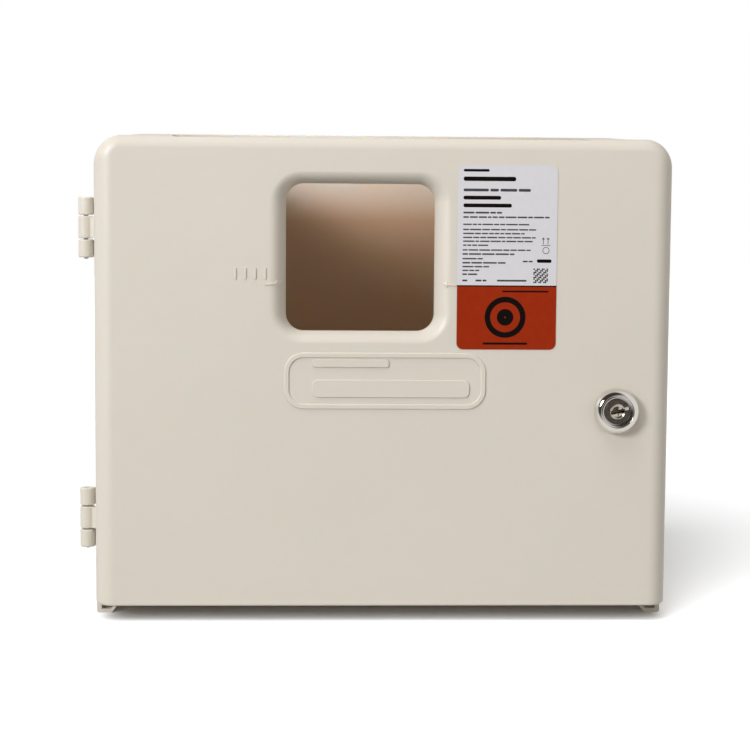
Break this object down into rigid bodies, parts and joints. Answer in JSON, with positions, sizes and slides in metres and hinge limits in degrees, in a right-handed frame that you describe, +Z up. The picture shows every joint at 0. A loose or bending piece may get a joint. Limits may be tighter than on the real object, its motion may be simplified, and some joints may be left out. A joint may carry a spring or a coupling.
{
  "type": "sharps container wall cabinet",
  "caption": "Locking wall cabinet for a sharps container: rear housing open at the top, left-hinged door with a view window and a quarter-turn cam lock.",
  "frame": {"origin": "middle of the footprint, on the surface that it stands on", "axes": "+X to the right seen from the front, +Y towards the wall, +Z up"},
  "size_m": [0.3058, 0.1432, 0.255],
  "materials": {
    "beige_plastic": "fine moulded satin",
    "chrome": "bright plated",
    "nickel_plug": "plated, slightly worn",
    "dark_face": "dark satin",
    "zinc_steel": "zinc plated",
    "spring_steel": "drawn wire",
    "wafer_brass": "stamped",
    "label_vinyl": "printed vinyl, white over red-orange"
  },
  "bodies": {
    "housing": {"rear_housing": "beige_plastic", "upper_hinge_pin": "zinc_steel", "lower_hinge_pin": "zinc_steel"},
    "door": {"door_shell": "beige_plastic", "front_label": "label_vinyl", "lock_housing": "chrome", "lock_washer": "zinc_steel", "lock_nut": "zinc_steel"},
    "lock_core": {"lock_plug": "nickel_plug", "lock_face_disc": "dark_face", "wafer_1": "wafer_brass", "wafer_2": "wafer_brass", "wafer_3": "wafer_brass", "wafer_4": "wafer_brass", "wafer_5": "wafer_brass", "wafer_spring_1": "spring_steel", "wafer_spring_2": "spring_steel", "wafer_spring_3": "spring_steel", "wafer_spring_4": "spring_steel", "wafer_spring_5": "spring_steel", "stop_washer": "zinc_steel", "lock_cam": "zinc_steel", "cam_washer": "zinc_steel", "cam_screw": "zinc_steel"}
  },
  "joints": [
    {"name": "door_hinge", "type": "hinge", "parent": "housing", "child": "door", "pos_m": [-0.14895, -0.0371, 0.126], "axis": [0, 0, -1], "range_deg": [0, 180]},
    {"name": "lock_turn", "type": "hinge", "parent": "door", "child": "lock_core", "pos_m": [0.12295, -0.06535, 0.1103], "axis": [0, 1, 0], "range_deg": [0, 90]}
  ]
}
